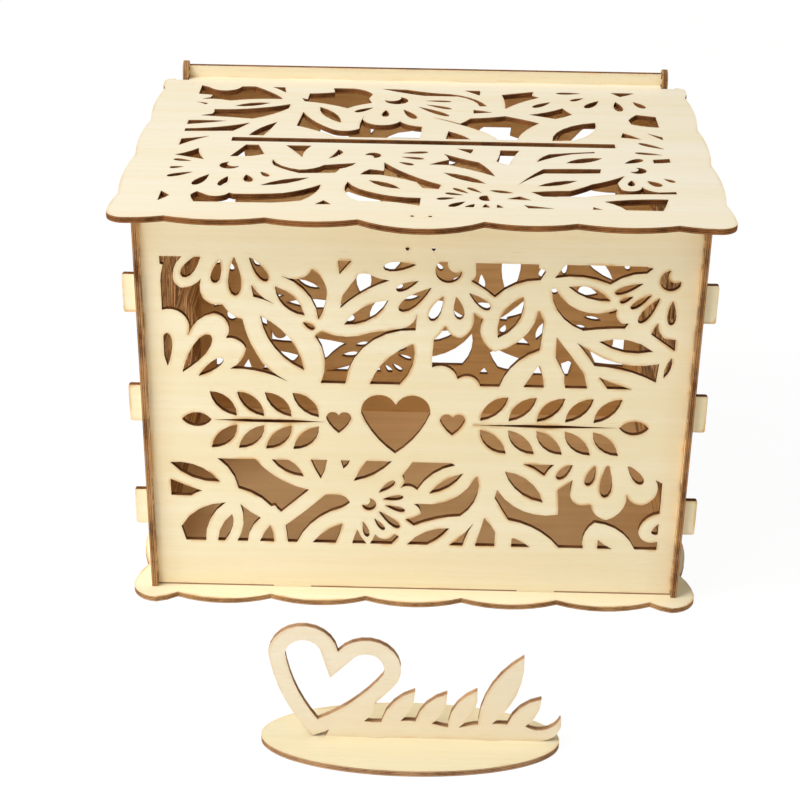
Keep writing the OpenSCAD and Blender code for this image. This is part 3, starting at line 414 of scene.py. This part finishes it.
@dataclass(frozen=True)
class Indoors:
    """Part of the base's upper face that lies inside the box and gets the painted shade, in
    metres.

    Attributes:
        half: Half of its width.
        front: Its Y at the front.
        back: Its Y at the back.
    """

    half: float
    front: float
    back: float

    @classmethod
    def measured(cls) -> "Indoors":
        """Measures the inside, up to the middles of the front and the back panel.

        Returns:
            The part of the base that lies inside the frame's walls.
        """
        side, front, back = (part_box(name) for name in (
            "right_side_panel", "front_panel", "back_panel"))
        return cls(half=float(side[0][0]), front=float(front[0][1] + front[1][1]) / 2,
                   back=float(back[0][1] + back[1][1]) / 2)

    @staticmethod
    def group() -> Tree:
        """Builds the mask of the part of a level sheet that lies inside the box, where the shade
        is painted.

        Returns:
            Group with Mask, 1 inside, from coordinates and the sizes of an Indoors.
        """
        tree, graph, given, out = new_group(
            "inside of the box", {"Vector": "Vector", "Half": "Float", "Front": "Float",
                                  "Back": "Float"}, {"Mask": "Float"})
        parts = graph.add("SeparateXYZ", Vector=given.outputs["Vector"])
        between = graph.math("LESS_THAN", graph.math("ABSOLUTE", parts.outputs[0]),
                             given.outputs["Half"])
        behind = graph.math("GREATER_THAN", parts.outputs[1], given.outputs["Front"])
        before = graph.math("LESS_THAN", parts.outputs[1], given.outputs["Back"])
        graph.feed(out, "Mask", graph.math("MULTIPLY", between,
                                           graph.math("MULTIPLY", behind, before)))
        return tree


@dataclass(frozen=True)
class Seam:
    """Painted shadow lines along the thin gaps where an upright panel meets the base and the side
    panels, in metres.

    Attributes:
        level: Height of the line along the panel's lower edge.
        end: Distance from the middle to the upright line beside the end tabs.
        foot_near: Distance from the middle to a foot's near side, where the low line stops.
        foot_far: Distance from the middle to the foot's far side.
        width: Width of the lines.
    """

    level: float
    end: float
    foot_near: float = 0.055
    foot_far: float = 0.075
    width: float = 0.0008

    @classmethod
    def measured(cls, clearance: float = 0.00015) -> "Seam":
        """Measures where the base and the side panels meet an upright panel.

        Args:
            clearance: Distance of the upright line from the side panel's inner face.

        Returns:
            The panel's painted shadow lines.
        """
        return cls(level=float(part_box("bottom_panel")[1][2]),
                   end=float(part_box("right_side_panel")[0][0]) - clearance)

    @staticmethod
    def group() -> Tree:
        """Builds an upright panel's painted shadow lines along its joints and the painted warm
        shade at its ends.

        Returns:
            Group with Mask, 1 on a painted shadow line, and Warmth, 1 in the painted warm shade
            at the ends, from coordinates and the sizes of a Seam.
        """
        upright_half, upright_share, end_shade_reach = 0.25, 0.5, 22.0
        tree, graph, given, out = new_group(
            "joint seam", {"Vector": "Vector", "Level": "Float", "Foot Near": "Float",
                           "Foot Far": "Float", "End": "Float", "Width": "Float"},
            {"Mask": "Float", "End Shade": "Float"})
        parts = graph.add("SeparateXYZ", Vector=given.outputs["Vector"])
        width = given.outputs["Width"]
        off = graph.math("ABSOLUTE", parts.outputs[0])
        low = graph.math("LESS_THAN", parts.outputs[2],
                         graph.math("ADD", given.outputs["Level"], width))
        foot = graph.math("MULTIPLY",
                          graph.math("GREATER_THAN", off, given.outputs["Foot Near"]),
                          graph.math("LESS_THAN", off, given.outputs["Foot Far"]))
        inward = graph.math("SUBTRACT", given.outputs["End"], off)
        upright = graph.math("LESS_THAN", graph.math("ABSOLUTE", inward),
                             graph.math("MULTIPLY", width, upright_half))
        # painted shadow lines in the thin gaps along the base and beside the side panels, clear
        # of the feet
        graph.feed(out, "Mask", graph.math("MAXIMUM", graph.math("SUBTRACT", low, foot),
                                           graph.math("MULTIPLY", upright, upright_share)))
        # painted warm shade that fades from the side panels inward
        widths_in = graph.math("DIVIDE", inward, width)
        on_face = graph.math("GREATER_THAN", widths_in, 0.0)
        fading = graph.ramp(widths_in, 0.0, end_shade_reach, out_low=1.0, out_high=0.0)
        graph.feed(out, "End Shade", graph.math("MULTIPLY", on_face, fading))
        return tree


@dataclass
class PlyShop:
    """Shared node groups, and the way from a finish to a sheet's material.

    Attributes:
        veneer: Group of the face veneer's grain.
        char: Group of the charred edge.
        scorch: Group of the scorch beside a cut.
        indoors: Group of the mask of the inside of the box.
        seam: Group of the painted shadow lines along the joints and the painted warm shade at a
            panel's ends.
        fleck: Colour of the veneer's flecks.
        fleck_share: Strength of the flecks.
        streaked: Tones of the grain where an inner face's streaks are full and where they end.
        end_shade_share: Strength of the painted warm shade at a panel's ends, beside the side
            panels.
        gap_shadow_share: Strength of the painted shadow lines along the joints.
        dull: Roughness of the veneer's deepest tone.
        sheen: Roughness of its palest tone.
        sooty: Roughness of a charred edge.
        gloss: Specular level of the bare wood.
        relief: Strength of the grain's bump.
        relief_height: Height of the grain's bump in metres.
    """

    veneer: Tree = field(default_factory=VeneerGrain().group)
    char: Tree = field(default_factory=CharredEdge().group)
    scorch: Tree = field(default_factory=LaserScorch().group)
    indoors: Tree = field(default_factory=Indoors.group)
    seam: Tree = field(default_factory=Seam.group)
    fleck: Colour = linear(196, 160, 108)
    fleck_share: float = 0.16
    streaked: Span = (0.2, 0.65)
    end_shade_share: float = 0.16
    gap_shadow_share: float = 0.85
    dull: float = 0.62
    sheen: float = 0.52
    sooty: float = 0.9
    gloss: float = 0.2
    relief: float = 0.12
    relief_height: float = 0.0002

    def placed(self, graph: Graph, tree: Tree, **inputs: object) -> bpy.types.Node:
        """Puts a shared group into a material.

        Args:
            graph: The material's graph.
            tree: Group that is placed.
            inputs: Its inputs by name, with spaces as _.

        Returns:
            The group's node.
        """
        node = graph.add("Group")
        node.node_tree = tree
        for name, value in inputs.items():
            graph.feed(node, name.replace("_", " "), value)
        return node

    def grain(self, graph: Graph, finish: SheetFinish, place: Socket) -> bpy.types.Node:
        """Lays the veneer's grain along a sheet.

        Args:
            graph: The material's graph.
            finish: Finish of the sheet.
            place: Object coordinates.

        Returns:
            The grain group's node.
        """
        share_y, share_z = 0.7, 0.3
        along = graph.add("Mapping", Vector=place,
                          Location=(finish.shift, finish.shift * share_y,
                                    finish.shift * share_z),
                          Rotation=(0.0, 0.0, math.radians(finish.turn)))
        return self.placed(graph, self.veneer, Vector=along.outputs[0])

    def turned_in(self, graph: Graph, place: Socket, facing: Socket, inside: Inside,
                  indoors: Indoors | None) -> Socket:
        """Masks the part of a sheet that looks into the box, which gets the painted shade.

        Args:
            graph: The material's graph.
            place: Object coordinates.
            facing: The normal along the sheet's thickness.
            inside: Face that looks into the box.
            indoors: Part of that face that lies in the box, if not all of it does.

        Returns:
            Socket that is 1 on that part.
        """
        mask = graph.math("GREATER_THAN",
                          graph.math("MULTIPLY", facing, float(inside.value)), 0.5)
        if indoors is None:
            return mask
        covered = self.placed(graph, self.indoors, Vector=place, Half=indoors.half,
                              Front=indoors.front, Back=indoors.back)
        return graph.math("MULTIPLY", mask, covered.outputs["Mask"])

    def inside_shade_and_streaks(self, graph: Graph, finish: SheetFinish, tone: Socket,
               veneer: Socket) -> Socket:
        """Darkens the veneer with painted shade for the dimmer light inside the box, and adds the
        inner face's real dark streaks.

        Args:
            graph: The material's graph.
            finish: Finish of the sheet.
            tone: Tone of the grain.
            veneer: Colour of the outer face.

        Returns:
            Colour of the inner face, with its painted shade and its streaks.
        """
        streaky = graph.ramp(tone, *self.streaked, out_low=1.0, out_high=0.0)
        streaks = graph.math("MULTIPLY", streaky, finish.streak)
        # painted shade: the veneer multiplied by the finish's inner tint, for the dimmer light
        # inside the box
        brown = graph.mix(1.0, veneer, finish.inner, "MULTIPLY")
        return graph.mix(streaks, brown, finish.burnt)

    def joint_shade(self, graph: Graph, finish: SheetFinish, seam: Seam, place: Socket,
               veneer: Socket) -> Socket:
        """Adds painted warm shade at a panel's ends and painted shadow lines along its joints.

        Args:
            graph: The material's graph.
            finish: Finish of the sheet.
            seam: Painted shadow lines of the sheet.
            place: Object coordinates.
            veneer: Colour of the face.

        Returns:
            Colour of the face with its painted shade.
        """
        lines = self.placed(graph, self.seam, Vector=place, Level=seam.level,
                            Foot_Near=seam.foot_near, Foot_Far=seam.foot_far,
                            End=seam.end, Width=seam.width)
        # painted warm shade at the ends beside the side panels
        end_shade = graph.math("MULTIPLY", lines.outputs["End Shade"], self.end_shade_share)
        # painted shadow lines along the joints' gaps
        dark = graph.math("MULTIPLY", lines.outputs["Mask"], self.gap_shadow_share)
        return graph.mix(dark, graph.mix(end_shade, veneer, finish.scorch), finish.brown)

    def dress(self, node: str, finish: SheetFinish, across: Thickness,
              inside: Inside = Inside.NONE, seam: Seam | None = None,
              indoors: Indoors | None = None) -> None:
        """Gives a sheet of the frame its material.

        Args:
            node: Name of the sheet's node.
            finish: Finish that it gets.
            across: Axis of the sheet's thickness.
            inside: Face that looks into the box.
            seam: Painted shadow lines along its joints, if it has any.
            indoors: Part of the inner face that lies in the box and gets the painted shade, if
                not all of it does.
        """
        low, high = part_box(node)
        axis = across.value
        material = bpy.data.materials.new(node + " plywood")
        material.use_nodes = True
        graph = Graph(material.node_tree)
        shader = material.node_tree.nodes["Principled BSDF"]
        coords = graph.add("TexCoord")
        place = coords.outputs["Object"]
        facing = graph.add("SeparateXYZ", Vector=coords.outputs["Normal"]).outputs[axis]
        grain = self.grain(graph, finish, place)
        tone = grain.outputs["Tone"]

        veneer = graph.mix(tone, finish.deep, finish.light)
        veneer = graph.mix(graph.math("MULTIPLY", grain.outputs["Fleck"], self.fleck_share),
                           veneer, self.fleck)
        # painted shade on the face that looks into the box, with its real streaks
        if inside is not Inside.NONE:
            veneer = graph.mix(self.turned_in(graph, place, facing, inside, indoors),
                               veneer, self.inside_shade_and_streaks(graph, finish, tone, veneer))
        scorched = self.placed(graph, self.scorch, Vector=place, Reach=finish.reach)
        veneer = graph.mix(graph.math("MULTIPLY", scorched.outputs["Mask"], finish.heat),
                           veneer, finish.scorch)
        # painted shadow lines along the joints and painted warm shade at the ends
        if seam is not None:
            veneer = self.joint_shade(graph, finish, seam, place, veneer)

        through = graph.add("SeparateXYZ", Vector=place).outputs[axis]
        depth = graph.math("DIVIDE", graph.math("SUBTRACT", through, low[axis]),
                           high[axis] - low[axis])
        charred = self.placed(graph, self.char, Vector=place, Depth=depth)
        edge = graph.mix(charred.outputs["Char"], finish.burnt, finish.brown)
        side = graph.math("LESS_THAN", graph.math("ABSOLUTE", facing), 0.5)
        graph.feed(shader, "Base Color", graph.mix(side, veneer, edge))

        smooth = graph.ramp(tone, 0.0, 1.0, out_low=self.dull, out_high=self.sheen)
        graph.feed(shader, "Roughness", graph.math("MAXIMUM", smooth,
                                                   graph.math("MULTIPLY", side, self.sooty)))
        graph.feed(shader, "Specular IOR Level", self.gloss)
        bump = graph.add("Bump", Strength=self.relief, Distance=self.relief_height,
                         Height=grain.outputs["Height"])
        graph.feed(shader, "Normal", bump.outputs[0])
        for slot in bpy.data.objects[node].material_slots:
            slot.material = material
        log.info("%s: %.0f x %.0f x %.0f mm plywood", node,
                 *(1000 * (b - a) for a, b in zip(low, high)))


@dataclass
class Carcass:
    """The five fixed panels: base, front, back and two pierced sides.

    Attributes:
        base: Finish of the base.
        front: Finish of the front panel.
        back: Finish of the back panel.
        side: Finish of both side panels.
        seam: Painted shadow lines along the front panel's joints.
        indoors: Part of the base that lies inside the box.
    """

    # the inner tints are painted shade for the dimmer light inside the box
    base: SheetFinish = SheetFinish(light=linear(252, 243, 216), deep=linear(248, 235, 200),
                                    inner=(1.0, 0.79, 0.57), streak=0.06, shift=0.31,
                                    burnt=linear(96, 58, 28), brown=linear(200, 156, 108))
    front: SheetFinish = SheetFinish(light=linear(254, 243, 211), deep=linear(249, 233, 192),
                                     inner=(1.0, 0.87, 0.7), streak=0.12, shift=0.05,
                                     burnt=linear(56, 28, 10), brown=linear(136, 87, 46))
    back: SheetFinish = SheetFinish(light=linear(251, 239, 210), deep=linear(245, 227, 190),
                                    inner=(1.0, 0.79, 0.53), streak=0.1, shift=0.83)
    side: SheetFinish = SheetFinish(light=linear(250, 237, 206), deep=linear(244, 225, 186),
                                    inner=(1.0, 0.79, 0.54), streak=0.75, turn=90.0, shift=0.57,
                                    burnt=linear(84, 46, 20), brown=linear(192, 144, 96))
    seam: Seam = field(default_factory=Seam.measured)
    indoors: Indoors = field(default_factory=Indoors.measured)

    def dress(self, shop: PlyShop) -> None:
        """Dresses each panel.

        Args:
            shop: Shop that makes the materials.
        """
        shop.dress("bottom_panel", self.base, Thickness.ACROSS_Z, Inside.HIGH,
                   indoors=self.indoors)
        shop.dress("front_panel", self.front, Thickness.ACROSS_Y, Inside.HIGH, self.seam)
        shop.dress("back_panel", self.back, Thickness.ACROSS_Y, Inside.LOW)
        shop.dress("left_side_panel", self.side, Thickness.ACROSS_X, Inside.HIGH)
        shop.dress("right_side_panel", self.side, Thickness.ACROSS_X, Inside.LOW)


@dataclass
class HingedLid:
    """The pierced lid and the rail that it turns on.

    Attributes:
        panel: Finish of the lid.
        rail: Finish of the rail.
    """

    # inner is painted shade on the lid's underside
    panel: SheetFinish = SheetFinish(inner=(1.0, 0.87, 0.7), heat=0.28, streak=0.12,
                                     shift=0.42)
    rail: SheetFinish = SheetFinish(light=linear(252, 242, 214), deep=linear(247, 232, 196),
                                    heat=0.25, shift=0.91)

    def dress(self, shop: PlyShop) -> None:
        """Dresses the lid and its rail."""
        shop.dress("lid_panel", self.panel, Thickness.ACROSS_Z, Inside.LOW)
        shop.dress("hinge_rail", self.rail, Thickness.ACROSS_Y)


@dataclass
class TableSign:
    """The free-standing vine on its oval foot.

    Attributes:
        foot: Finish of the foot.
        vine: Finish of the vine.
    """

    foot: SheetFinish = SheetFinish(light=linear(239, 229, 196), deep=linear(233, 220, 181),
                                    burnt=linear(106, 68, 40), brown=linear(204, 162, 120),
                                    heat=0.35, shift=0.12)
    vine: SheetFinish = SheetFinish(light=linear(252, 240, 215), deep=linear(249, 233, 201),
                                    burnt=linear(112, 74, 46), brown=linear(208, 168, 128),
                                    heat=0.25, shift=0.77)

    def dress(self, shop: PlyShop) -> None:
        """Dresses the vine and its foot."""
        shop.dress("sign_foot", self.foot, Thickness.ACROSS_Z)
        shop.dress("sign_vine", self.vine, Thickness.ACROSS_Y)


@dataclass(frozen=True)
class SoftLamp:
    """A square soft lamp.

    Attributes:
        name: Name of the lamp.
        place: Its position in metres.
        size: Side of its face in metres.
        power: Its power in watts.
        straight_down: Whether it points straight down and not at the box.
    """

    name: str
    place: Point
    size: float
    power: float
    straight_down: bool = False


@dataclass
class Studio:
    """Plain pale floor, soft light and the camera.

    Attributes:
        eye: Camera position in metres.
        heading: Camera turn about Z in radians, 0 looks along +Y.
        tilt: Camera elevation in radians.
        roll: Camera roll in radians.
        focal: Focal length in image widths.
        sensor: Sensor width in millimetres.
        farthest: Distance that the camera sees in metres.
        ambient: Strength of the even light from all round.
        ambient_colour: Its colour.
        lamp_colour: Colour of the lamps.
        lamps: The lamps: a large one high on the left, a weak one near its front, and a faint one
            inside the box for the light that comes through and between its thin sheets.
        aim: Point of the box that the lamps point at.
        floor_size: Side of the floor in metres.
        floor_place: Its middle.
        floor_grey: Grey of the floor under the lamps.
        floor_rough: Its roughness.
        floor_gloss: Its specular level.
        floor_white: Strength of the white that the camera sees on it.
        floor_share: Share of that white, the rest keeps the shadow.
    """

    eye: Point = (0.0020, -0.9132, 0.5342)
    heading: float = -0.013456
    tilt: float = -0.476098
    roll: float = 0.015258
    focal: float = 2.24665
    sensor: float = 36.0
    farthest: float = 50.0
    ambient: float = 0.35
    ambient_colour: Colour = (1.0, 0.985, 0.96)
    lamp_colour: Colour = (1.0, 0.985, 0.955)
    lamps: tuple[SoftLamp, ...] = (
        SoftLamp("key lamp", (-1.9, -0.9, 2.7), 2.0, 91.0),
        SoftLamp("front lamp", (-0.7, -0.7, 0.4), 0.6, 2.0),
        SoftLamp("inner glow", (0.0, 0.0, 0.17), 0.16, 0.02, straight_down=True),
    )
    aim: Point = (0.0, 0.0, 0.1)
    floor_size: float = 14.0
    floor_place: Point = (0.0, 1.0, 0.0)
    floor_grey: float = 0.9
    floor_rough: float = 0.9
    floor_gloss: float = 0.1
    floor_white: float = 1.03
    floor_share: float = 0.92

    def build(self) -> None:
        """Builds the whole set."""
        self.floor()
        self.world()
        for lamp in self.lamps:
            self.hang(lamp)
        self.camera()

    def floor(self) -> None:
        """Lays a wide white floor that keeps a soft shadow."""
        bpy.ops.object.select_all(action="DESELECT")
        bpy.ops.mesh.primitive_plane_add(size=self.floor_size, location=self.floor_place)
        floor = bpy.context.active_object
        floor.name = "studio_floor"
        bpy.ops.object.transform_apply(location=True, rotation=True, scale=True)
        material = bpy.data.materials.new("white floor")
        material.use_nodes = True
        graph = Graph(material.node_tree)
        shader = material.node_tree.nodes["Principled BSDF"]
        graph.feed(shader, "Base Color", (*(self.floor_grey,) * 3, 1.0))
        graph.feed(shader, "Roughness", self.floor_rough)
        graph.feed(shader, "Specular IOR Level", self.floor_gloss)
        white = graph.add("Emission", Color=(1.0, 1.0, 1.0, 1.0), Strength=self.floor_white)
        rays = graph.add("LightPath").outputs
        seen = graph.math("MAXIMUM", rays["Is Camera Ray"],
                          graph.math("MAXIMUM", rays["Is Glossy Ray"],
                                     rays["Is Transmission Ray"]))
        share = graph.math("MULTIPLY", seen, self.floor_share)
        self.blend(graph, share, shader.outputs[0], white.outputs[0],
                   material.node_tree.nodes["Material Output"])
        floor.data.materials.append(material)

    def world(self) -> None:
        """Gives an even light from all round and a white background."""
        world = bpy.data.worlds.new("studio")
        bpy.context.scene.world = world
        world.use_nodes = True
        graph = Graph(world.node_tree)
        lit = world.node_tree.nodes["Background"]
        graph.feed(lit, "Color", (*self.ambient_colour, 1.0))
        graph.feed(lit, "Strength", self.ambient)
        white = graph.add("Background", Color=(1.0, 1.0, 1.0, 1.0), Strength=1.0)
        rays = graph.add("LightPath").outputs
        seen = graph.math("MAXIMUM", rays["Is Camera Ray"], rays["Is Transmission Ray"])
        self.blend(graph, seen, lit.outputs[0], white.outputs[0],
                   world.node_tree.nodes["World Output"])

    def blend(self, graph: Graph, share: Socket, first: Socket, second: Socket,
              out: bpy.types.Node) -> None:
        """Blends two shaders into an output node.

        Args:
            graph: Graph that holds them.
            share: Share of the second shader.
            first: First shader.
            second: Second shader.
            out: Output node.
        """
        node = graph.add("MixShader")
        for number, value in enumerate((share, first, second)):
            graph.feed(node, number, value)
        graph.feed(out, "Surface", node.outputs[0])

    def hang(self, lamp: SoftLamp) -> None:
        """Hangs a lamp, unseen by the camera.

        Args:
            lamp: The lamp.
        """
        data = bpy.data.lights.new(lamp.name, "AREA")
        data.size = lamp.size
        data.energy = lamp.power
        data.color = self.lamp_colour
        hung = bpy.data.objects.new(lamp.name, data)
        bpy.context.scene.collection.objects.link(hung)
        hung.location = lamp.place
        hung.visible_camera = False
        if not lamp.straight_down:
            ray = Vector(self.aim) - Vector(lamp.place)
            hung.rotation_euler = ray.to_track_quat("-Z", "Y").to_euler()

    def camera(self) -> None:
        """Sets the camera from its heading, tilt and roll."""
        ahead = Vector((math.sin(self.heading) * math.cos(self.tilt),
                        math.cos(self.heading) * math.cos(self.tilt), math.sin(self.tilt)))
        right = Vector((math.cos(self.heading), -math.sin(self.heading), 0.0))
        above = right.cross(ahead)
        side = right * math.cos(self.roll) + above * math.sin(self.roll)
        top = above * math.cos(self.roll) - right * math.sin(self.roll)
        data = bpy.data.cameras.new("camera")
        data.sensor_width = self.sensor
        data.lens = self.sensor * self.focal
        data.clip_end = self.farthest
        camera = bpy.data.objects.new("camera", data)
        bpy.context.scene.collection.objects.link(camera)
        turn = Matrix((side, top, -ahead)).transposed()
        camera.matrix_world = Matrix.Translation(Vector(self.eye)) @ turn.to_4x4()
        bpy.context.scene.camera = camera
        bpy.context.scene.view_settings.view_transform = "Standard"


def main() -> None:
    """Dresses the frame, builds the studio and notes the sizes."""
    logging.basicConfig(level=logging.INFO, format="%(name)s: %(message)s")
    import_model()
    shop = PlyShop()
    for assembly in (Carcass(), HingedLid(), TableSign()):
        log.info("dressing %s", type(assembly).__name__)
        assembly.dress(shop)
    Studio().build()


if __name__ == "__main__":
    main()
